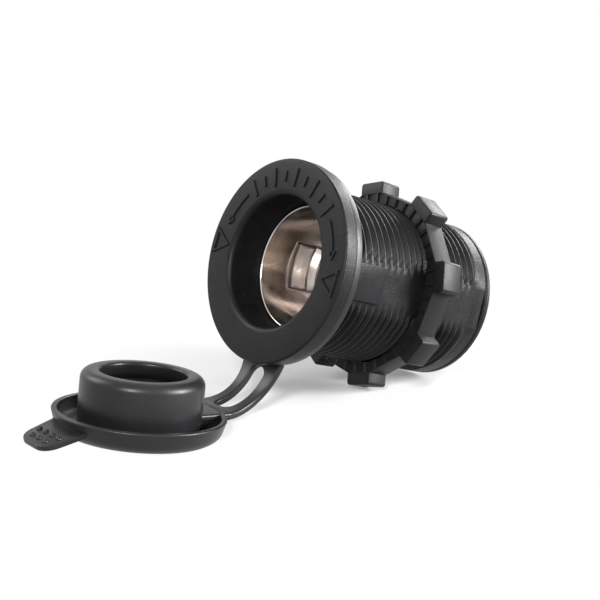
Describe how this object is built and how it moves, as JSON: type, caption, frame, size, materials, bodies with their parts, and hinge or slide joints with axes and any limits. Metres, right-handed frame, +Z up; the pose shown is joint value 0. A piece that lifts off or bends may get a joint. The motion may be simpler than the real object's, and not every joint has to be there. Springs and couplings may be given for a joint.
{
  "type": "car 12 volt power socket",
  "caption": "Round panel socket for a vehicle accessory plug, with a threaded barrel, a lugged lock nut and a rubber dust cap on a strap.",
  "frame": {"origin": "on the socket's axis, in the plane of the strap ring's back face, which bears on the front of the panel", "axes": "+Y along the axis towards the terminals, so the mouth faces -Y; +Z up; +X to the right seen from the front"},
  "size_m": [0.037, 0.0852, 0.0533],
  "materials": {
    "housing_nylon": "fine spark-eroded grain, charcoal black",
    "nut_nylon": "satin black",
    "cap_rubber": "satin black, soft",
    "shell_nickel": "bright nickel plating with drawing marks",
    "contact_brass": "stamped",
    "terminal_tin": "tin plated, stamped",
    "insulator_board": "pressed brown fibre board"
  },
  "bodies": {
    "socket": {"housing": "housing_nylon", "rear_cap": "housing_nylon", "contact_shell": "shell_nickel", "inner_insulator": "insulator_board", "outer_insulator": "insulator_board", "centre_contact": "contact_brass", "centre_rivet": "contact_brass", "positive_terminal": "contact_brass", "negative_terminal": "terminal_tin", "ground_rivets": "terminal_tin"},
    "nut": {"lock_nut": "nut_nylon"},
    "strap_ring": {"cap_ring": "cap_rubber", "cap_strap": "cap_rubber"},
    "cap": {"cap_lid": "cap_rubber"}
  },
  "joints": [
    {"name": "nut_travel", "type": "slide", "parent": "socket", "child": "nut", "axis": [0, 1, 0], "range_m": [-0.0178, 0.0096]},
    {"name": "ring_turn", "type": "hinge", "parent": "socket", "child": "strap_ring", "pos_m": [0, 0, 0], "axis": [0, 1, 0], "continuous": true},
    {"name": "cap_fold", "type": "hinge", "parent": "strap_ring", "child": "cap", "pos_m": [0, -0.00201, -0.02179], "axis": [-1, 0, 0], "range_deg": [-55, 99.2], "stiffness_Nm_per_rad": 0.005, "springref_deg": 5.44, "deforming": ["cap_strap"]}
  ]
}
